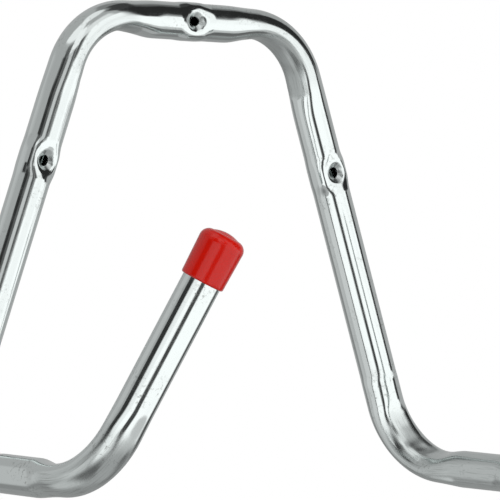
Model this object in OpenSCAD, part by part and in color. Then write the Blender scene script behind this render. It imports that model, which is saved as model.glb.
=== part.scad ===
// Double wall hook bent from one length of round steel tube, with a soft cap on each tip.
// X runs along the wall, Y points into the wall and Z is up. The wall face is the plane y = 0.
// The origin is where the axis of the top screw hole meets the wall.

/* [Tube] */
// Outside diameter of the tube
tube_d = 20; // [19:0.5:21]
// Wall thickness of the tube
tube_wall = 1.2; // [1:0.1:1.5]
// Radius of the top bends, measured on the centre line of the tube
top_bend_r = 40; // [36:1:46]
// Radius of the bends between the legs and the arms
low_bend_r = 37; // [34:1:42]
// Radius of the bends between the arms and the raised tips
tip_bend_r = 39; // [36:1:45]
// How far a bend is crushed on its inner and outer sides, where it is crushed most
bend_crush = 2.6; // [1.5:0.1:3]
// Depth of the trough that the press tool leaves along the inner side of a bend
bend_trough = 1.4; // [0.8:0.1:2]

/* [Frame] */
// Distance between the two top corners, measured where the centre lines cross
bar_w = 143; // [130:1:160]
// Length of a leg between the corners at its two ends
leg_l = 250; // [235:1:280]
// Angle by which each leg spreads from the vertical
leg_splay = 20; // [12:1:24]

/* [Hooks] */
// Length of an arm between the corners at its two ends
arm_l = 127; // [114:1:150]
// Angle by which the arms slope down towards the front
arm_droop = 2.5; // [0:0.5:4]
// Length of the raised tip from its corner to the cut end of the tube
tip_l = 136; // [120:1:150]
// Angle of the raised tip above the horizontal, in the plane of its leg
tip_rise = 71.5; // [62:0.5:80]

/* [Screw seats] */
// Diameter of the screw holes
hole_d = 6; // [5:0.25:6.5]
// Distance of the leg holes from the top corners, along the legs
hole_drop = 82; // [76:1:90]
// Depth of the flat that is pressed into the front of the tube
seat_depth = 1.6; // [1.2:0.1:2.2]
// How far each side of the tube spreads at a screw seat
seat_spread = 0.4; // [0:0.1:0.8]
// Mouth diameter of the dish that takes the screw head
dish_d = 11.5; // [10.5:0.25:12]
// Depth of the dish
dish_depth = 2.2; // [1.6:0.1:2.6]

/* [Caps] */
// Length of a cap over all
cap_l = 27; // [24:1:34]
// Thickness of the cap's wall
cap_wall = 1.3; // [1.1:0.1:2]
// How much larger the cap's radius is at its closed end than at its mouth
cap_flare = 0.5; // [0:0.1:0.8]
// Rounding of the cap's closed end
cap_round = 5; // [3.5:0.25:6]

/* [Hidden] */
tube_r = tube_d / 2;
hole_r = hole_d / 2;
dish_r = dish_d / 2;

// Corners around each section of the tube, and stations from one end of a bend to the other
ring_sides = 24;
bend_steps = [0, 0.08, 0.2, 0.35, 0.5, 0.65, 0.8, 0.92, 1];

// How much of its crush and of its trough a bend has, as [place, crush, trough]. The places are
// millimetres before the bend, shares of the way through it and millimetres after it.
top_before = [[16, 0, 0], [8, 0.6, 0.1]];
top_along = [[0, 0.95, 0.3], [0.2, 1, 0.6], [0.8, 0.85, 0.6], [1, 0.65, 0.8]];
top_after = [[6.5, 0.45, 0.8], [9, 0.35, 0], [18, 0, 0]];
low_before = [[16, 0, 0], [14, 0.25, 0]];
low_along = [[0, 0.3, 0], [0.2, 0.65, 0.8], [0.5, 1, 0.7], [0.8, 0.9, 1], [1, 0.75, 0.5]];
low_after = [[7, 0.45, 0], [15, 0, 0]];
tip_before = [[14, 0, 0], [6, 0.55, 0.2]];
tip_along = [[0, 0.8, 0.5], [0.5, 0.6, 0.2], [1, 0.35, 0]];
tip_after = [[12, 0, 0]];

// Half width of the trough at the foot of its sides
trough_half = 7.5;

// Half length of the flat at a seat, the length over which it runs out to the round tube, and the
// power of the squarish curve that its section follows in front
seat_flat = 3.5;
seat_run = 8;
seat_power = 3;
seat_steps = [-11.5, -9, -7, -5, -3.5, 3.5, 5, 7, 9, 11.5];

// Flat land round the hole at the bottom of the dish, and how far the cutters reach past the tube
dish_land = 0.6;
cut_over = 1;

// Clearance of the cap around the tube, thickness of its closed end and rounding of its rim
cap_fit = 0.05;
cap_end = 2.4;
cap_rim = 0.6;
cap_dome = 1.4;

front = [0, -1, 0];
inward_at_top = [0, 0, -1];
leg_dir = [sin(leg_splay), 0, -cos(leg_splay)];
leg_in = [-cos(leg_splay), 0, -sin(leg_splay)];
top_turn = 90 - leg_splay;
low_turn = 90 - arm_droop;
tip_turn = tip_rise + arm_droop;

// Heading of the hook in its own plane: 0 runs down the leg and 90 points to the front
function heading(a) = cos(a) * leg_dir + sin(a) * front;
function heading_in(a) = cos(a) * front - sin(a) * leg_dir;
arm_dir = heading(low_turn);
tip_dir = heading(low_turn + tip_turn);

top_corner = [bar_w / 2, -tube_r, 0];
low_corner = top_corner + leg_l * leg_dir;
tip_corner = low_corner + arm_l * arm_dir;
tube_end = tip_corner + tip_l * tip_dir;

function cut_back(turn, r) = r * tan(turn / 2);

// A station is [place, side 1, side 2, seat, press on side 1, press on side 2], with a press as
// [crush, trough] in millimetres.
// Side 1 is the front of the bar and legs and the hollow side of the hook.
// Side 2 is the side of the bar and legs that faces the middle of the frame.
// Seat is 1 on the flat of a screw seat and 0 away from it.
function seat_share(s) =
    let (t = max(0, min(1, (abs(s) - seat_flat) / seat_run)))
    1 - t * t * (3 - 2 * t);
unpressed = [0, 0];
function press(crush, trough) = [bend_crush * crush, bend_trough * trough];
function press_at(f, along) =
    press(lookup(f, [for (k = along) [k[0], k[1]]]), lookup(f, [for (k = along) [k[0], k[2]]]));

function bend_place(start, along, into, a, r) =
    start + r * (sin(a) * along + (1 - cos(a)) * into);

function top_bend() =
    let (start = top_corner - [cut_back(top_turn, top_bend_r), 0, 0],
         end = top_corner + cut_back(top_turn, top_bend_r) * leg_dir)
    concat(
        [for (k = top_before)
            [start - [k[0], 0, 0], front, inward_at_top, 0, unpressed, press(k[1], k[2])]],
        [for (f = bend_steps)
            let (a = f * top_turn)
            [bend_place(start, [1, 0, 0], inward_at_top, a, top_bend_r), front,
             cos(a) * inward_at_top - sin(a) * [1, 0, 0], 0, unpressed, press_at(f, top_along)]],
        [for (k = top_after) [end + k[0] * leg_dir, front, leg_in, 0, unpressed, press(k[1], k[2])]]);

// Bend of the hook at a corner, from the heading that it starts with through its turn
function hook_bend(corner, from, turn, r, before, along, after) =
    let (start = corner - cut_back(turn, r) * heading(from),
         end = corner + cut_back(turn, r) * heading(from + turn))
    concat(
        [for (k = before)
            [start - k[0] * heading(from), heading_in(from), leg_in, 0, press(k[1], k[2]), unpressed]],
        [for (f = bend_steps)
            [bend_place(start, heading(from), heading_in(from), f * turn, r),
             heading_in(from + f * turn), leg_in, 0, press_at(f, along), unpressed]],
        [for (k = after)
            [end + k[0] * heading(from + turn), heading_in(from + turn), leg_in, 0,
             press(k[1], k[2]), unpressed]]);

function seat_on_bar() =
    [for (s = seat_steps) if (s >= 0)
        [[s, -tube_r, 0], front, inward_at_top, seat_share(s), unpressed, unpressed]];
function seat_on_leg() =
    [for (s = seat_steps)
        [top_corner + (hole_drop + s) * leg_dir, front, leg_in, seat_share(s), unpressed, unpressed]];

half_path = concat(
    seat_on_bar(),
    top_bend(),
    seat_on_leg(),
    hook_bend(low_corner, 0, low_turn, low_bend_r, low_before, low_along, low_after),
    hook_bend(tip_corner, low_turn, tip_turn, tip_bend_r, tip_before, tip_along, tip_after),
    [[tube_end, heading_in(low_turn + tip_turn), leg_in, 0, unpressed, unpressed]]);

// A crushed section is an oval that keeps about the length round of the round tube. The back of
// the frame stays flush with the wall, so it doesn't spread there.
function narrow(crush, r) = 1 - crush / r;
function wide(crush, r) = sqrt(2 - pow(narrow(crush, r), 2));
function well(across) = pow(max(0, 1 - pow(across / trough_half, 2)), 2);

// Distance of the skin from the tube's axis at a seat: a squarish curve in front, a half ellipse behind
function seat_reach(a, r) =
    let (n = cos(a) > 0 ? seat_power : 2, deep = cos(a) > 0 ? r - seat_depth : r)
    pow(pow(abs(cos(a)) / deep, n) + pow(abs(sin(a)) / (r + seat_spread), n), -1 / n);

function section(st, r) =
    [for (k = [0 : ring_sides - 1])
        let (a = 360 * k / ring_sides,
             reach = r + st[3] * (seat_reach(a, r) - r),
             across = reach * sin(a) * wide(st[4][0], r),
             ahead = reach * cos(a) * (cos(a) > 0 ? wide(st[5][0], r) : 1),
             u = ahead * narrow(st[4][0], r) - (cos(a) > 0 ? st[4][1] * well(across) : 0),
             v = across * narrow(st[5][0], r) - (sin(a) > 0 ? st[5][1] * well(ahead) : 0))
        st[0] + u * st[1] + v * st[2]];

function mirrored(points) = [for (p = points) [-p[0], p[1], p[2]]];

// Sections from the left tip to the right tip; the left half mirrors the right one
function skin(r) =
    let (half = [for (st = half_path) section(st, r)])
    concat([for (i = [len(half) - 1 : -1 : 1]) mirrored(half[i])], half);

module tube_shell() {
    outer = skin(tube_r);
    inner = skin(tube_r - tube_wall);
    rows = len(outer);
    n = ring_sides;
    function at(layer, i, k) = (layer * rows + i) * n + k % n;
    polyhedron(
        points = [for (layer = [outer, inner]) for (ring = layer) for (p = ring) p],
        faces = concat(
            [for (i = [0 : rows - 2]) for (k = [0 : n - 1])
                [at(0, i, k), at(0, i + 1, k), at(0, i + 1, k + 1), at(0, i, k + 1)]],
            [for (i = [0 : rows - 2]) for (k = [0 : n - 1])
                [at(1, i, k), at(1, i, k + 1), at(1, i + 1, k + 1), at(1, i + 1, k)]],
            [for (k = [0 : n - 1]) [at(0, 0, k), at(0, 0, k + 1), at(1, 0, k + 1), at(1, 0, k)]],
            [for (k = [0 : n - 1])
                [at(0, rows - 1, k), at(1, rows - 1, k), at(1, rows - 1, k + 1), at(0, rows - 1, k + 1)]]),
        convexity = 12);
}

// Runs its child at the three screw holes, with its Z axis pointing to the front
module at_screw_holes() {
    leg_hole = top_corner + hole_drop * leg_dir;
    for (place = [[0, -tube_r, 0], leg_hole, mirrored([leg_hole])[0]])
        translate(place) rotate([90, 0, 0]) children();
}

// Pressed metal around and under the dish, from inside the front wall downwards
module dish_metal() {
    level = tube_r - seat_depth;
    bottom = level - dish_depth;
    rotate_extrude($fn = 48)
        polygon([
            [0, bottom - tube_wall],
            [hole_r + tube_wall, bottom - tube_wall],
            [dish_r + tube_wall, level - tube_wall],
            [dish_r + tube_wall, level - tube_wall / 2],
            [0, level - tube_wall / 2]]);
}

// Space of the dish and the hole behind it, through both walls of the tube
module dish_space() {
    level = tube_r - seat_depth;
    bottom = level - dish_depth;
    rotate_extrude($fn = 48)
        polygon([
            [0, bottom],
            [hole_r + dish_land, bottom],
            [dish_r, level],
            [dish_r, tube_r + cut_over],
            [0, tube_r + cut_over]]);
    translate([0, 0, -tube_r - cut_over]) cylinder(h = tube_d, r = hole_r, $fn = 48);
}

module bent_tube() {
    color("Gainsboro")
        difference() {
            union() {
                tube_shell();
                at_screw_holes() dish_metal();
            }
            at_screw_holes() dish_space();
        }
}

// Cap on the right tip, turned about the axis of the tube; z = 0 is the cut end of the tube
module cap_body() {
    inner_r = tube_r + cap_fit;
    outer_r = inner_r + cap_wall;
    crown_r = outer_r + cap_flare - cap_round;
    open_z = cap_end + cap_dome - cap_l;
    rotate_extrude($fn = 72)
        polygon(concat(
            [[0, 0], [inner_r, 0], [inner_r, open_z]],
            [for (a = [0 : 30 : 90])
                [outer_r - cap_rim + cap_rim * sin(a), open_z + cap_rim - cap_rim * cos(a)]],
            [for (a = [0 : 15 : 90])
                [crown_r + cap_round * cos(a), cap_end - cap_round + cap_round * sin(a)]],
            [for (x = [0.66, 0.33, 0]) [crown_r * x, cap_end + cap_dome * (1 - x * x)]]));
}

// The tip's axis leans forward from the vertical, then inward about Y with its leg
module tip_cap() {
    color("Red")
        translate(tube_end)
            rotate([0, -leg_splay, 0])
                rotate([90 - tip_rise, 0, 0])
                    cap_body();
}

module cap_right() tip_cap();

module cap_left() mirror([1, 0, 0]) tip_cap();

bent_tube();
cap_left();
cap_right();
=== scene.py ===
"""Double wall hook: bent zinc plated steel tube with pressed screw seats and red vinyl end caps."""

import math

import bmesh
import bpy
import numpy as np
from mathutils import Matrix, Vector


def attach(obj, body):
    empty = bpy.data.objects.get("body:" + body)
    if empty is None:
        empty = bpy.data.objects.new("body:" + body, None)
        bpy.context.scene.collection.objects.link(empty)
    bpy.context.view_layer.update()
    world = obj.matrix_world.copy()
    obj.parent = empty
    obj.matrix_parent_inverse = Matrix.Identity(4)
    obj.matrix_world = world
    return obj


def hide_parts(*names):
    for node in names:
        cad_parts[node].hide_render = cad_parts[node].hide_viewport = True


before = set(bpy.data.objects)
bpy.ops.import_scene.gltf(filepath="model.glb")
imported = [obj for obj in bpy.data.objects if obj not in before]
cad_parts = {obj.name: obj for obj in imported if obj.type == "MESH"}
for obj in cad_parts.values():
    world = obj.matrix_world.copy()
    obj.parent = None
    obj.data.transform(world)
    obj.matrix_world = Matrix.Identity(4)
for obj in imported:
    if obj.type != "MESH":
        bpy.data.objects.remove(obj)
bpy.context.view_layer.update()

MM = 0.001

# Tube and frame, in millimetres
TUBE_R = 10.0
TUBE_WALL = 1.2
BAR_W = 143.0
LEG_L = 250.0
LEG_SPLAY = math.radians(20.0)
ARM_L = 127.0
ARM_DROOP = math.radians(2.5)
TIP_L = 136.0
TIP_RISE = math.radians(71.5)
TOP_BEND_R, LOW_BEND_R, TIP_BEND_R = 40.0, 37.0, 39.0

# Presses. A bend is crushed to an oval, and has a trough along its inner side
BEND_CRUSH = 2.6
BEND_TROUGH = 1.4
TROUGH_HALF = 7.5

# How much of its crush and of its trough a bend has, as place, crush and trough. The places are
# millimetres before the bend, shares of the way through it and millimetres after it.
PRESSES = {
    "top_bend": (
        ((16.0, 0.0, 0.0), (8.0, 0.6, 0.1)),
        ((0.0, 0.95, 0.3), (0.2, 1.0, 0.6), (0.8, 0.85, 0.6), (1.0, 0.65, 0.8)),
        ((6.5, 0.45, 0.8), (9.0, 0.35, 0.0), (18.0, 0.0, 0.0)),
    ),
    "low_bend": (
        ((16.0, 0.0, 0.0), (14.0, 0.25, 0.0)),
        ((0.0, 0.3, 0.0), (0.2, 0.65, 0.8), (0.5, 1.0, 0.7), (0.8, 0.9, 1.0), (1.0, 0.75, 0.5)),
        ((7.0, 0.45, 0.0), (15.0, 0.0, 0.0)),
    ),
    "tip_bend": (
        ((14.0, 0.0, 0.0), (6.0, 0.55, 0.2)),
        ((0.0, 0.8, 0.5), (0.5, 0.6, 0.2), (1.0, 0.35, 0.0)),
        ((12.0, 0.0, 0.0),),
    ),
}
CRUSH_BLEND = {"top_bend": 6.0, "low_bend": 2.2, "tip_bend": 2.5}
TROUGH_BLEND = 1.6
OUTER_SHARE = 0.35
SPREAD_SHARE = 0.45

# Dents that the bending tool left: millimetres along the tube, degrees round it from the front or
# hollow side, half length, half width and depth in millimetres. A depth below 0 is a bulge.
DENTS = (
    (264.0, 20.0, 2.5, 7.0, 0.30),
    (283.0, 14.0, 6.0, 2.5, 0.45),
    (300.0, 3.0, 5.0, 4.0, -0.35),
    (312.0, 20.0, 7.0, 3.0, 0.30),
    (328.0, 45.0, 9.0, 3.0, 0.60),
    (339.0, 7.0, 4.0, 5.0, 0.50),
    (99.0, 80.0, 2.0, 9.0, 0.18),
    (352.0, 35.0, 9.0, 2.5, 0.25),
)

# Patches that are dull and grey where the tool rubbed the plating or it tarnished: millimetres
# along the tube low and high, degrees round it low and high, how far the ends and the sides fade,
# and how dull.
DULL_PATCHES = (
    (38.0, 99.5, 44.0, 150.0, 2.0, 14.0, 0.95),
    (46.0, 92.0, -2.0, 32.0, 8.0, 10.0, 0.35),
    (292.0, 342.0, -20.0, 190.0, 12.0, 20.0, 0.45),
    (342.0, 398.0, -20.0, 190.0, 10.0, 20.0, 0.30),
    (398.0, 444.0, 110.0, 260.0, 8.0, 25.0, 0.55),
)
DISH_DULL = 0.6

# Screw seats
HOLE_R = 3.0
HOLE_DROP = 82.0
SEAT_DEPTH = 1.6
SEAT_FLAT = 3.5
SEAT_RUN = 8.0
SEAT_POWER = 3.0
SEAT_SPREAD = 0.4
DISH_R = 5.75
DISH_DEPTH = 2.2
DISH_LIP = 0.9

# Caps
CAP_L = 27.0
CAP_WALL = 1.3
CAP_FLARE = 0.5
CAP_FIT = 0.05
CAP_END = 2.4
CAP_ROUND = 5.0
CAP_RIM = 1.1
CAP_DOME = 1.4

# Grid of the tube's surface
AROUND = 80
ROW_PITCH = 1.6
SEAT_PITCH = 1.0
WINDOW = 8.0
ROUND_R = 6.9
EDGE_RINGS = 4
ROUND_RINGS = 22

FRONT = np.array([0.0, -1.0, 0.0])
ALONG_BAR = np.array([1.0, 0.0, 0.0])
DOWN = np.array([0.0, 0.0, -1.0])
LEG_DIR = np.array([math.sin(LEG_SPLAY), 0.0, -math.cos(LEG_SPLAY)])
LEG_IN = np.array([-math.cos(LEG_SPLAY), 0.0, -math.sin(LEG_SPLAY)])
TOP_TURN = math.radians(90.0) - LEG_SPLAY
LOW_TURN = math.radians(90.0) - ARM_DROOP
TIP_TURN = TIP_RISE + ARM_DROOP
MIRROR = np.array([-1.0, 1.0, 1.0])


def cut_back(turn, radius):
    """Length that a bend takes from each straight: radius times the tangent of half the turn."""
    return radius * math.tan(turn / 2)


TOP_CUT = cut_back(TOP_TURN, TOP_BEND_R)
LOW_CUT = cut_back(LOW_TURN, LOW_BEND_R)
TIP_CUT = cut_back(TIP_TURN, TIP_BEND_R)


def half_route():
    """The right half of the tube as stretches from the middle of the bar to the cut end.

    Each stretch holds its start on the tube's length, its place, its direction, the direction that
    it turns to, the side that isn't turned, its radius and its length. A straight has radius 0.
    """
    stretches = []
    at = np.array([0.0, -TUBE_R, 0.0])
    along, into, side = ALONG_BAR, DOWN, FRONT
    run = 0.0
    plan = (
        ("bar", BAR_W / 2 - TOP_CUT, 0.0, 0.0),
        ("top_bend", 0.0, TOP_BEND_R, TOP_TURN),
        ("leg", LEG_L - TOP_CUT - LOW_CUT, 0.0, 0.0),
        ("low_bend", 0.0, LOW_BEND_R, LOW_TURN),
        ("arm", ARM_L - LOW_CUT - TIP_CUT, 0.0, 0.0),
        ("tip_bend", 0.0, TIP_BEND_R, TIP_TURN),
        ("tip", TIP_L - TIP_CUT, 0.0, 0.0),
    )
    for name, length, radius, turn in plan:
        if name == "low_bend":
            into, side = FRONT, LEG_IN
        length = radius * turn if radius else length
        stretches.append(
            dict(name=name, start=run, at=at, along=along, into=into, side=side, radius=radius, length=length)
        )
        run += length
        if radius:
            at = at + radius * (math.sin(turn) * along + (1 - math.cos(turn)) * into)
            along, into = (
                math.cos(turn) * along + math.sin(turn) * into,
                math.cos(turn) * into - math.sin(turn) * along,
            )
        else:
            at = at + length * along
    return stretches, run, at, along


ROUTE, HALF_LENGTH, TUBE_END, TIP_DIR = half_route()
STRETCH = {part["name"]: part for part in ROUTE}
LEG_SEAT = STRETCH["leg"]["start"] + HOLE_DROP - TOP_CUT


def smooth(t):
    """Smooth step: 3 t squared minus 2 t cubed, with t held between 0 and 1."""
    t = np.clip(t, 0.0, 1.0)
    return t * t * (3 - 2 * t)


def centre_line(s):
    """Place, side 1 and side 2 of the tube at distances s from the middle of the bar, s at least 0.

    Side 1 is the front of the bar and legs and the hollow side of the hook. Side 2 is the side of
    the bar and legs that faces the middle of the frame.
    """
    place = np.zeros(s.shape + (3,))
    side1 = np.zeros_like(place)
    side2 = np.zeros_like(place)
    for part in ROUTE:
        here = (s >= part["start"] - 1e-9) & (s <= part["start"] + part["length"] + 1e-6)
        d = (s - part["start"])[..., None]
        if part["radius"]:
            a = d / part["radius"]
            point = part["at"] + part["radius"] * (np.sin(a) * part["along"] + (1 - np.cos(a)) * part["into"])
            turned = np.cos(a) * part["into"] - np.sin(a) * part["along"]
        else:
            point = part["at"] + d * part["along"]
            turned = part["into"] + 0 * d
        fixed = part["side"] + 0 * d
        first, second = (turned, fixed) if part["name"] in ("low_bend", "arm", "tip_bend", "tip") else (fixed, turned)
        for target, value in ((place, point), (side1, first), (side2, second)):
            target[here] = value[here]
    return place, side1, side2


def press_knots(name):
    """Distances along the tube, crush and trough of a bend's knots, in one table."""
    part = STRETCH[name]
    before, along, after = PRESSES[name]
    end = part["start"] + part["length"]
    return np.array(
        [(part["start"] - d, c, t) for d, c, t in before]
        + [(part["start"] + f * part["length"], c, t) for f, c, t in along]
        + [(end + d, c, t) for d, c, t in after]
    )


def press(s, name):
    """Depths of the crush and the trough of a bend at distances s, in millimetres.

    Each is the mean of the broken line through its knots over a short length, so it turns smoothly.
    """
    knots = press_knots(name)
    spread = np.linspace(-1, 1, 9)
    weights = (1 - spread**2) / (1 - spread**2).sum()
    depths = []
    for column, depth, blend in ((1, BEND_CRUSH, CRUSH_BLEND[name]), (2, BEND_TROUGH, TROUGH_BLEND)):
        lines = np.interp(s[..., None] + blend * spread, knots[:, 0], knots[:, column])
        depths.append(depth * lines @ weights)
    return depths


def seat_share(s):
    """1 on the flats of the screw seats, falling to 0 over SEAT_RUN on both sides."""
    share = np.zeros_like(s)
    for middle in (0.0, LEG_SEAT):
        share = share + 1 - smooth((np.abs(s - middle) - SEAT_FLAT) / SEAT_RUN)
    return share


def seat_reach(phi, r):
    """Distance of a seat's section from the tube's axis.

    It is one over the root of the sum of the cosine over the depth and the sine over the width,
    each to the seat's power in front and squared behind.
    """
    ahead, across = np.cos(phi), np.sin(phi)
    power = np.where(ahead > 0, SEAT_POWER, 2.0)
    deep = np.where(ahead > 0, r - SEAT_DEPTH, r)
    return ((np.abs(ahead) / deep) ** power + (np.abs(across) / (r + SEAT_SPREAD)) ** power) ** (-1 / power)


def oval(crush, r):
    """Shares of its radius that a crushed tube keeps across the crush, and spreads to along it."""
    narrow = 1 - crush / r
    return narrow, np.sqrt(2 - narrow**2)


def well(across):
    """Section of the trough: 1 less the square of the place across it, squared."""
    return np.clip(1 - (across / TROUGH_HALF) ** 2, 0.0, None) ** 2


def turn_from(phi, degrees):
    """Angle from a place round the tube to phi, between minus pi and pi."""
    return (phi - math.radians(degrees) + math.pi) % (2 * math.pi) - math.pi


def dent_depth(length, phi):
    """Depth of the dents: each falls off as e to the minus square of the distance over its half size."""
    depth = np.zeros_like(length)
    for at, degrees, half_length, half_width, deep in DENTS:
        across = TUBE_R * turn_from(phi, degrees)
        depth = depth + deep * np.exp(-(((length - at) / half_length) ** 2) - (across / half_width) ** 2)
    return depth


def dullness(s, phi):
    """How dull the plating is, from 0 to 1: the strongest of the dull patches and of the dishes."""
    length = np.abs(s)
    dull = np.zeros_like(length)
    for s0, s1, phi0, phi1, soft_s, soft_phi, amount in DULL_PATCHES:
        middle, half = (phi0 + phi1) / 2, (phi1 - phi0) / 2
        off = np.degrees(np.abs(turn_from(phi, middle)))
        inside = smooth(1 + (length - s0) / soft_s) * smooth(1 + (s1 - length) / soft_s)
        dull = np.maximum(dull, amount * inside * smooth(1 + (half - off) / soft_phi))
    for middle in (0.0, LEG_SEAT):
        away = np.hypot(length - middle, TUBE_R * np.sin(phi))
        in_dish = (np.cos(phi) > 0) * smooth(1 + (DISH_R - 0.8 - away) / 0.8)
        dull = np.maximum(dull, DISH_DULL * in_dish)
    return dull


def tube_surface(s, phi, r):
    """Point of the tube's skin of radius r at signed length s and angle phi from side 1 to side 2.

    The round section is flattened in front at the seats, ovalled with a trough on the inner side
    at the bends, and sunk to a dish around each hole. The left half mirrors the right one.
    """
    length = np.abs(s)
    place, side1, side2 = centre_line(length)
    reach = r + seat_share(length) * (seat_reach(phi, r) - r) - dent_depth(length, phi)
    low, tip, top = (press(length, name) for name in ("low_bend", "tip_bend", "top_bend"))
    narrow1, wide1 = oval(low[0] + tip[0], r)
    narrow2, wide2 = oval(top[0], r)
    wide2 = 1 + SPREAD_SHARE * (wide2 - 1)
    front_side = np.cos(phi) > 0
    across = reach * np.sin(phi) * wide1
    ahead = reach * np.cos(phi) * np.where(front_side, wide2, 1.0)
    inner_side = smooth((1 + np.sin(phi)) / 2)
    narrow2 = 1 - (1 - narrow2) * (OUTER_SHARE + (1 - OUTER_SHARE) * inner_side)
    u = ahead * narrow1 - np.where(front_side, (low[1] + tip[1]) * well(across), 0.0)
    v = across * narrow2 - np.where(np.sin(phi) > 0, top[1] * well(ahead), 0.0)
    points = place + u[..., None] * side1 + v[..., None] * side2
    for hole in hole_places(positive=True):
        away = np.hypot(points[..., 0] - hole[0], points[..., 2] - hole[2])
        points[..., 1] += np.where(front_side, dish_sink(away), 0.0)
    points[..., 0] *= np.where(s < 0, -1.0, 1.0)
    return points


def hole_places(positive=False):
    """Centres of the screw holes on the tube's centre line: the bar's, the right leg's, the left leg's."""
    leg = np.array([BAR_W / 2, -TUBE_R, 0.0]) + HOLE_DROP * LEG_DIR
    places = [np.array([0.0, -TUBE_R, 0.0]), leg]
    return places if positive else places + [leg * MIRROR]


def dish_sink(away):
    """Depth of the dish at a distance from the hole's axis: a cone with a rounded lip.

    It is half the slope times the way in from the lip plus the root of its square and DISH_LIP's.
    """
    inwards = DISH_R - away
    slope = DISH_DEPTH / (DISH_R - HOLE_R)
    fade = smooth((WINDOW - away) / 1.5)
    return 0.5 * slope * fade * (inwards + np.sqrt(inwards**2 + DISH_LIP**2))


def row_stations():
    """Signed lengths of the grid's rows, with even steps in the windows around the holes."""
    rows = [np.array([0.0, HALF_LENGTH])]
    for name in PRESSES:
        knots = press_knots(name)[:, 0]
        first, last = knots[0] - CRUSH_BLEND[name], knots[-1] + CRUSH_BLEND[name]
        rows.append(np.linspace(first, last, round((last - first) / ROW_PITCH)))
    for middle in (0.0, LEG_SEAT):
        near = SEAT_FLAT + SEAT_RUN + 1.0
        rows.append(middle + np.arange(-near, near + 0.5 * SEAT_PITCH, 0.5 * SEAT_PITCH))
    for name in ("leg", "arm", "tip"):
        part = STRETCH[name]
        rows.append(part["start"] + part["length"] * np.linspace(0, 1, 9))
    right = np.unique(np.round(np.concatenate(rows), 6))
    right = right[(right >= 0) & (right <= HALF_LENGTH)]
    for middle in (0.0, LEG_SEAT):
        beside = np.abs(right - middle) > WINDOW + 0.5 * SEAT_PITCH
        window = middle + np.arange(-WINDOW, WINDOW + 0.5 * SEAT_PITCH, SEAT_PITCH)
        right = np.concatenate([right[beside], window[window >= 0]])
    right = np.sort(right)
    gap_ok = np.concatenate([[True], np.diff(right) > 0.3 * SEAT_PITCH])
    return np.concatenate([-right[gap_ok][:0:-1], right[gap_ok]])


def strip_faces(index):
    """Quads between neighbours of a grid of vertex numbers."""
    return np.stack([index[:-1, :-1], index[1:, :-1], index[1:, 1:], index[:-1, 1:]], -1).reshape(-1, 4)


def window_loop(i0, i1, j0, j1):
    """Row and column numbers once round the edge of a window in the grid."""
    rows = np.concatenate([np.full(j1 - j0, i0), np.arange(i0, i1), np.full(j1 - j0, i1), np.arange(i1, i0, -1)])
    cols = np.concatenate([np.arange(j0, j1), np.full(i1 - i0, j1), np.arange(j1, j0, -1), np.full(i1 - i0, j0)])
    return rows, cols


class Skin:
    """Vertices, their lengths and angles, and faces of one skin of the tube, as they are added."""

    def __init__(self, r):
        self.r, self.points, self.faces, self.count = r, [], [], 0

    def add(self, s, phi):
        """Adds surface points and gives their vertex numbers, in the shape of s."""
        points = tube_surface(s, phi, self.r)
        self.points.append(np.concatenate([points.reshape(-1, 3), np.stack([s.ravel(), phi.ravel()], 1)], 1))
        numbers = self.count + np.arange(s.size).reshape(s.shape)
        self.count += s.size
        return numbers


def patch(skin, loop, s_middle, phi_middle, s_edge, phi_edge, round_r):
    """Fills a window round a hole: rings that turn from its edge to a circle, then circles to the hole.

    A ring's point is the mix of its point on the window's edge and its point on the circle, both
    in millimetres along the tube and across it.
    """
    x = s_edge - s_middle
    y = skin.r * np.sin(phi_edge - phi_middle)
    angle = np.arctan2(y, x)
    share = np.concatenate([np.linspace(0, 1, EDGE_RINGS + 1)[1:], np.ones(ROUND_RINGS)])[:, None]
    radius = np.concatenate([np.full(EDGE_RINGS, round_r), np.linspace(round_r, HOLE_R, ROUND_RINGS + 1)[1:]])[:, None]
    px = (1 - share) * x + share * radius * np.cos(angle)
    py = (1 - share) * y + share * radius * np.sin(angle)
    rings = skin.add(s_middle + px, phi_middle + np.arcsin(py / skin.r))
    rings = np.concatenate([loop[None, :], rings])
    rings = np.concatenate([rings, rings[:, :1]], 1)
    skin.faces.append(strip_faces(rings))
    return rings[-1]


def tube_skin(r):
    """One skin of the tube: its grid, the patches round the holes, and the rims left open."""
    skin = Skin(r)
    stations = row_stations()
    angles = np.arange(AROUND) * 2 * math.pi / AROUND
    s, phi = np.meshgrid(stations, angles, indexing="ij")
    grid = skin.add(s, phi)
    wrapped = np.concatenate([grid, grid[:, :1]], 1)
    quads = strip_faces(wrapped).reshape(len(stations) - 1, AROUND, 4)
    keep = np.ones(quads.shape[:2], bool)
    holes = []
    for middle in (0.0, LEG_SEAT, -LEG_SEAT):
        i0, i1 = (int(np.argmin(np.abs(stations - middle - d))) for d in (-WINDOW, WINDOW))
        for column, half, round_r in ((0, 3 * AROUND // 20, ROUND_R), (AROUND // 2, AROUND // 10, HOLE_R + 1)):
            rows, cols = window_loop(i0, i1, column - half, column + half)
            keep[i0:i1][:, np.arange(column - half, column + half) % AROUND] = False
            loop = grid[rows, cols % AROUND]
            edge_phi = cols * 2 * math.pi / AROUND
            holes.append(patch(skin, loop, middle, column * 2 * math.pi / AROUND, stations[rows], edge_phi, round_r))
    skin.faces.append(quads[keep])
    return skin, holes, (wrapped[0], wrapped[-1])


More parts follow.
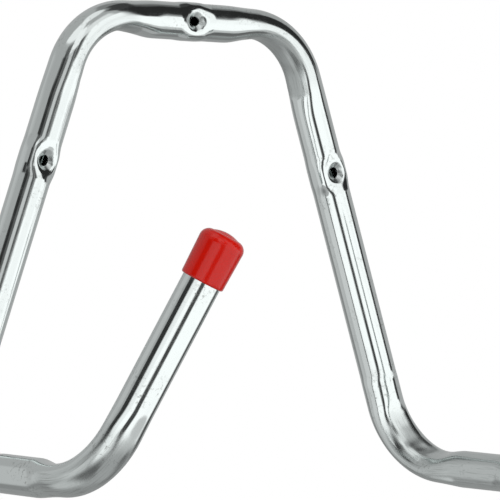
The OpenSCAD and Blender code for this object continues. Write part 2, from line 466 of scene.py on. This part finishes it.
def mesh_object(name, points, faces, material, flip=False):
    """A smooth mesh object from points in millimetres and a list of faces."""
    mesh = bpy.data.meshes.new(name)
    order = [tuple(reversed(f)) for f in faces] if flip else [tuple(f) for f in faces]
    mesh.from_pydata((points * MM).tolist(), [], order)
    mesh.polygons.foreach_set("use_smooth", np.ones(len(mesh.polygons), bool))
    mesh.set_sharp_from_angle(angle=math.radians(50))
    mesh.materials.append(material)
    piece = bpy.data.objects.new(name, mesh)
    bpy.context.collection.objects.link(piece)
    return piece


def bent_tube(material):
    """The whole tube: outer skin, inner skin, the walls of the six holes and the two cut ends."""
    outer, outer_holes, outer_ends = tube_skin(TUBE_R)
    inner, inner_holes, inner_ends = tube_skin(TUBE_R - TUBE_WALL)
    shift = outer.count
    faces = [np.concatenate(outer.faces), np.concatenate(inner.faces)[:, ::-1] + shift]
    for rim, inside in zip(outer_holes, inner_holes):
        faces.append(strip_faces(np.stack([rim, inside + shift])))
    for rim, inside, order in ((outer_ends[0], inner_ends[0], 1), (outer_ends[1], inner_ends[1], -1)):
        faces.append(strip_faces(np.stack([inside + shift, rim]))[:, ::order])
    table = np.concatenate([np.concatenate(outer.points), np.concatenate(inner.points)])
    piece = mesh_object("bent_tube_finish", table[:, :3], np.concatenate(faces), material)
    lay_lengths(piece.data, table[:, 3], table[:, 4])
    return piece


def lay_lengths(mesh, s, phi):
    """UV map of the tube in metres: length along it, and way round it from the front."""
    corner = np.empty(len(mesh.loops), int)
    mesh.loops.foreach_get("vertex_index", corner)
    around = (phi[corner] + math.pi) % (2 * math.pi) - math.pi
    uv = np.stack([s[corner] * MM, np.abs(around) * TUBE_R * MM], 1)
    mesh.uv_layers.new(name="along").data.foreach_set("uv", uv.astype(np.float32).ravel())
    dull = mesh.attributes.new("dull", "FLOAT", "POINT")
    dull.data.foreach_set("value", dullness(s, phi).astype(np.float32))


def cap_profile():
    """Profile of a cap as radius and height above the tube's cut end, from the inside to the crown."""
    inner_r = TUBE_R + CAP_FIT
    outer_r = inner_r + CAP_WALL
    crown_r = outer_r + CAP_FLARE
    mouth = CAP_END + CAP_DOME - CAP_L
    rim = np.radians(np.linspace(0, 90, 7))
    crown = np.radians(np.linspace(0, 90, 13))
    dome_r = crown_r - CAP_ROUND
    x = np.linspace(1, 0, 8)[1:]
    return np.concatenate(
        [
            np.stack([inner_r * np.array([0.0, 0.5, 1.0]), np.zeros(3)], 1),
            np.stack([np.full(12, inner_r), np.linspace(0, mouth, 13)[1:]], 1),
            np.stack([outer_r - CAP_RIM + CAP_RIM * np.sin(rim), mouth + CAP_RIM - CAP_RIM * np.cos(rim)], 1),
            np.linspace((outer_r, mouth + CAP_RIM), (crown_r, CAP_END - CAP_ROUND), 16)[1:-1],
            np.stack([dome_r + CAP_ROUND * np.cos(crown), CAP_END - CAP_ROUND + CAP_ROUND * np.sin(crown)], 1),
            np.stack([dome_r * x, CAP_END + CAP_DOME * (1 - x**2)], 1),
        ]
    )


def end_cap(name, sign, material):
    """A cap turned from its profile about the axis of the tip, on the left (-1) or the right (1)."""
    profile = cap_profile()
    turns = np.arange(96) * 2 * math.pi / 96
    axis = TIP_DIR
    across = LEG_IN
    third = np.cross(axis, across)
    ring = np.cos(turns)[:, None] * across + np.sin(turns)[:, None] * third
    body = profile[1:-1]
    points = TUBE_END + body[:, 1][:, None, None] * axis + body[:, 0][:, None, None] * ring
    middle, top = (TUBE_END + profile[k, 1] * axis for k in (0, -1))
    count = body.shape[0] * len(turns)
    points = np.concatenate([points.reshape(-1, 3), [middle, top]])
    points[:, 0] *= sign
    index = np.arange(count).reshape(body.shape[0], len(turns))
    index = np.concatenate([index, index[:, :1]], 1)
    faces = strip_faces(index).tolist()
    faces += [[count, b, a] for a, b in zip(index[0, :-1], index[0, 1:])][::1]
    faces += [[count + 1, a, b] for a, b in zip(index[-1, :-1], index[-1, 1:])]
    piece = mesh_object(name, points, faces, material, flip=False)
    face_outwards(piece)
    return piece


def face_outwards(piece):
    """Turns all faces of a closed mesh outwards."""
    work = bmesh.new()
    work.from_mesh(piece.data)
    bmesh.ops.recalc_face_normals(work, faces=work.faces)
    work.to_mesh(piece.data)
    work.free()


def linear(hex_colour, alpha=1.0):
    """An sRGB hex colour as linear red, green, blue and alpha."""
    channels = [int(hex_colour[i : i + 2], 16) / 255 for i in (0, 2, 4)]
    return tuple(c / 12.92 if c <= 0.04045 else ((c + 0.055) / 1.055) ** 2.4 for c in channels) + (alpha,)


def node(tree, kind, inputs=None, **settings):
    """Adds a node with its settings. An input is a value, or the socket that it is linked from."""
    new = tree.nodes.new(kind)
    for key, value in settings.items():
        setattr(new, key, value)
    for key, value in (inputs or {}).items():
        if isinstance(value, bpy.types.NodeSocket):
            tree.links.new(value, new.inputs[key])
        else:
            new.inputs[key].default_value = value
    return new


def material_tree(name):
    """A new material with its node tree, its shader and nothing else."""
    material = bpy.data.materials.new(name)
    material.use_nodes = True
    tree = material.node_tree
    return material, tree, tree.nodes["Principled BSDF"]


def bright_zinc():
    """Bright zinc plating on drawn steel tube: a mirror that is cloudy, speckled and rubbed in places.

    The draw lines run along the tube, so they follow its UV map. Specks are tarnish about 1.5 mm
    wide that comes in groups. Scratches are up to 15 mm long, and show where the plating is dull.
    """
    material, tree, shader = material_tree("bright_zinc_plating")
    place = node(tree, "ShaderNodeTexCoord").outputs["Object"]
    along = node(tree, "ShaderNodeUVMap", uv_map="along").outputs["UV"]
    dull = node(tree, "ShaderNodeAttribute", attribute_name="dull").outputs["Fac"]

    def noise(vector, scale, detail):
        return node(tree, "ShaderNodeTexNoise", {"Vector": vector, "Scale": scale, "Detail": detail}).outputs["Fac"]

    def ramp(value, low, high, to_low=0.0, to_high=1.0):
        sockets = {"Value": value, "From Min": low, "From Max": high, "To Min": to_low, "To Max": to_high}
        return node(tree, "ShaderNodeMapRange", sockets).outputs["Result"]

    def lines(long, wide):
        stretched = node(tree, "ShaderNodeMapping", {"Vector": along, "Scale": (1 / (long * MM), 1 / (wide * MM), 1.0)})
        return noise(stretched.outputs["Vector"], 1.0, 2.0)

    groups = ramp(noise(place, 1 / (22.0 * MM), 1.0), 0.50, 0.66)
    specks = math_node(tree, "MULTIPLY", groups, ramp(noise(place, 1 / (1.6 * MM), 2.0), 0.56, 0.72))
    scratches = math_node(tree, "MULTIPLY", ramp(dull, 0.0, 0.5), ramp(lines(15.0, 0.7), 0.56, 0.68))
    worn = math_node(tree, "MAXIMUM", math_node(tree, "MULTIPLY", specks, 0.5), math_node(tree, "MULTIPLY", scratches, 0.35))
    grey = node(tree, "ShaderNodeMix", {0: dull, 6: linear("D6DCDB"), 7: linear("C2C8C7")}, data_type="RGBA").outputs[2]
    colour = node(tree, "ShaderNodeMix", {0: worn, 6: grey, 7: linear("5E605A")}, data_type="RGBA").outputs[2]
    tree.links.new(colour, shader.inputs["Base Color"])
    cloud = ramp(noise(place, 1 / (8.0 * MM), 3.0), 0.35, 0.75, 0.07, 0.15)
    rough = math_node(tree, "ADD", cloud, math_node(tree, "MULTIPLY", dull, 0.24))
    rough = math_node(tree, "ADD", rough, math_node(tree, "MULTIPLY", specks, 0.12))
    tree.links.new(rough, shader.inputs["Roughness"])
    shader.inputs["Metallic"].default_value = 1.0
    bump = node(tree, "ShaderNodeBump", {"Height": lines(33.0, 1.1), "Strength": 0.05, "Distance": 0.0002})
    tree.links.new(bump.outputs["Normal"], shader.inputs["Normal"])
    return material


def red_vinyl():
    """Red dipped vinyl: soft, evenly coloured and glossy, with blurred highlights."""
    material, tree, shader = material_tree("red_dipped_vinyl")
    shader.inputs["Base Color"].default_value = linear("AE1004")
    shader.inputs["Roughness"].default_value = 0.17
    shader.inputs["IOR"].default_value = 1.53
    shader.inputs["Specular IOR Level"].default_value = 0.31
    return material


# Camera fitted to the photograph, in degrees, millimetres and pixels
VIEW_AZIMUTH = 40.21
VIEW_ELEVATION = -0.85
VIEW_ROLL = 0.90
VIEW_DISTANCE = 2696.9
FOCAL_PX = 5024.8
FRAME_PX = 500.0
AIM = np.array([45.93, -10.0, -120.28])
SENSOR_MM = 36.0


def photo_camera():
    """Camera that looks along the fitted direction, rolled about its own axis."""
    az, el, roll = (math.radians(a) for a in (VIEW_AZIMUTH, VIEW_ELEVATION, VIEW_ROLL))
    look = Vector((math.sin(az) * math.cos(el), math.cos(az) * math.cos(el), -math.sin(el)))
    right = look.cross(Vector((0, 0, 1))).normalized()
    up = right.cross(look)
    turned_right = math.cos(roll) * right + math.sin(roll) * up
    turned_up = math.cos(roll) * up - math.sin(roll) * right
    data = bpy.data.cameras.new("photo_camera")
    data.sensor_fit = "HORIZONTAL"
    data.sensor_width = SENSOR_MM
    data.lens = FOCAL_PX / FRAME_PX * SENSOR_MM
    data.clip_end = 50.0
    camera = bpy.data.objects.new("photo_camera", data)
    bpy.context.collection.objects.link(camera)
    place = (Vector(AIM) - VIEW_DISTANCE * look) * MM
    turn = Matrix((turned_right, turned_up, -look)).transposed().to_4x4()
    camera.matrix_world = Matrix.Translation(place) @ turn
    bpy.context.scene.camera = camera


def math_node(tree, operation, *values):
    """Output of a Math node on numbers or sockets."""
    return node(tree, "ShaderNodeMath", dict(enumerate(values)), operation=operation).outputs[0]


def band(tree, value, low, high, soft):
    """1 where a value in degrees lies between low and high, falling off over soft degrees outside."""
    rise = node(tree, "ShaderNodeMapRange", {"Value": value, "From Min": low - soft, "From Max": low}, interpolation_type="SMOOTHSTEP")
    fall = node(
        tree,
        "ShaderNodeMapRange",
        {"Value": value, "From Min": high, "From Max": high + soft, "To Min": 1.0, "To Max": 0.0},
        interpolation_type="SMOOTHSTEP",
    )
    return math_node(tree, "MULTIPLY", rise.outputs["Result"], fall.outputs["Result"])


# What the metal mirrors: bearing from the wall side (0) by way of the right (90) to the front (180),
# and height above the horizon, in degrees. Each row is bearing low and high, height low and high,
# how far its edges fade, and its brightness, which replaces what lies under it.
STUDIO = (
    (0.0, 62.0, -64.0, -18.0, 10.0, 0.38),
    (338.0, 360.0, -42.0, -6.0, 6.0, 0.32),
    (306.0, 334.0, -26.0, 26.0, 8.0, 0.64),
    (30.0, 130.0, 52.0, 90.0, 8.0, 0.27),
    (60.0, 130.0, 50.0, 70.0, 4.0, 0.06),
    (0.0, 360.0, 79.0, 90.0, 4.0, 1.05),
    (150.0, 200.0, 40.0, 55.0, 6.0, 1.00),
    (216.0, 290.0, 54.0, 90.0, 4.0, 1.15),
    (56.0, 90.0, 24.0, 45.0, 8.0, 0.45),
    (225.0, 285.0, -80.0, -50.0, 8.0, 0.16),
    (305.0, 345.0, -75.0, -45.0, 8.0, 0.75),
    (110.0, 196.0, -44.0, -30.0, 6.0, 0.72),
    (98.0, 120.0, -53.0, -42.0, 4.0, 0.17),
    (62.0, 98.0, -48.0, -38.0, 6.0, 0.27),
    (266.0, 300.0, -36.0, -12.0, 7.0, 0.80),
    (106.0, 197.0, -31.0, -6.0, 3.0, 1.40),
    (119.0, 190.0, -10.0, 15.0, 3.0, 1.40),
    (143.0, 172.0, 0.0, 38.0, 5.0, 1.30),
    (219.0, 257.0, -33.0, 6.0, 3.0, 1.40),
    (241.0, 257.0, 4.0, 15.0, 4.0, 1.20),
    (194.0, 224.0, 31.0, 62.0, 3.0, 1.20),
    (228.0, 250.0, 37.0, 46.0, 5.0, 0.13),
    (182.0, 190.0, 19.0, 36.0, 4.0, 0.12),
    (196.0, 257.0, 17.0, 32.0, 4.0, 0.13),
    (207.0, 222.0, 14.0, 31.0, 4.0, 0.75),
    (241.0, 257.0, 20.0, 34.0, 5.0, 0.035),
    (263.0, 286.0, 8.0, 24.0, 4.0, 0.04),
    (203.0, 212.0, -36.0, -6.0, 3.0, 0.06),
    (203.0, 217.0, -16.0, 2.0, 5.0, 0.08),
    (260.0, 263.5, -42.0, -16.0, 2.0, 0.14),
    (94.0, 134.0, 13.0, 51.0, 5.0, 0.03),
    (111.0, 125.0, 0.0, 14.0, 3.0, 0.06),
    (78.0, 95.0, -28.0, -21.0, 5.0, 0.09),
)
STUDIO_GREY = 0.51


def studio_world():
    """World that the metal mirrors as a studio with soft boxes and dark flags, white to the camera."""
    world = bpy.data.worlds.new("studio")
    bpy.context.scene.world = world
    world.use_nodes = True
    tree = world.node_tree
    direction = node(tree, "ShaderNodeTexCoord").outputs["Generated"]
    axes = node(tree, "ShaderNodeSeparateXYZ", {"Vector": direction}).outputs
    bearing = math_node(tree, "ARCTAN2", axes["X"], axes["Y"])
    bearing = math_node(tree, "MULTIPLY", bearing, 180 / math.pi)
    behind = math_node(tree, "LESS_THAN", bearing, 0.0)
    bearing = math_node(tree, "ADD", bearing, math_node(tree, "MULTIPLY", behind, 360.0))
    height = math_node(tree, "MULTIPLY", math_node(tree, "ARCSINE", axes["Z"]), 180 / math.pi)
    level = STUDIO_GREY
    for b0, b1, h0, h1, soft, value in STUDIO:
        here = math_node(tree, "MULTIPLY", band(tree, bearing, b0, b1, soft), band(tree, height, h0, h1, soft))
        level = node(tree, "ShaderNodeMix", {0: here, 2: level, 3: value}, data_type="FLOAT").outputs[0]
    seen = node(tree, "ShaderNodeLightPath").outputs["Is Camera Ray"]
    level = node(tree, "ShaderNodeMix", {0: seen, 2: level, 3: 1.0}, data_type="FLOAT").outputs[0]
    tree.links.new(level, tree.nodes["Background"].inputs["Strength"])
    tree.nodes["Background"].inputs["Color"].default_value = (1.0, 1.0, 1.0, 1.0)


def soft_lamp(name, place, aim, size, power):
    """A square area lamp in metres that points at a place."""
    data = bpy.data.lights.new(name, "AREA")
    data.size = size
    data.energy = power
    lamp = bpy.data.objects.new(name, data)
    lamp.location = place
    lamp.rotation_euler = (Vector(aim) - Vector(place)).to_track_quat("-Z", "Y").to_euler()
    lamp.visible_glossy = False
    bpy.context.collection.objects.link(lamp)


def pale_floor():
    """Pale matt floor well under the hook. It keeps the shadow and is white to the camera."""
    material, tree, shader = material_tree("pale_floor")
    shader.inputs["Base Color"].default_value = (0.86, 0.86, 0.86, 1.0)
    shader.inputs["Roughness"].default_value = 0.9
    seen = node(tree, "ShaderNodeLightPath").outputs["Is Camera Ray"]
    shader.inputs["Emission Color"].default_value = (1.0, 1.0, 1.0, 1.0)
    tree.links.new(math_node(tree, "MULTIPLY", seen, 0.3), shader.inputs["Emission Strength"])
    half = 1500.0
    height = FLOOR_Z
    corners = np.array([[-half, -half, height], [half, -half, height], [half, half, height], [-half, half, height]])
    floor = mesh_object("floor", corners, [[0, 1, 2, 3]], material)
    floor.visible_glossy = False


FLOOR_Z = -420.0

photo_camera()
studio_world()
pale_floor()
soft_lamp("key_lamp", (-0.9, -1.6, 0.9), (0, 0, -0.12), 1.2, 22.0)
soft_lamp("fill_lamp", (1.4, -1.0, 0.5), (0, 0, -0.12), 1.2, 10.0)

steel = bright_zinc()
vinyl = red_vinyl()

tube = bent_tube(steel)
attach(tube, "root")
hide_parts("bent_tube")

for side, sign in (("left", -1.0), ("right", 1.0)):
    cap = end_cap(f"cap_{side}_finish", sign, vinyl)
    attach(cap, "root")
    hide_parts(f"cap_{side}")
    cap.visible_glossy = False

bpy.context.scene.view_settings.view_transform = "Standard"
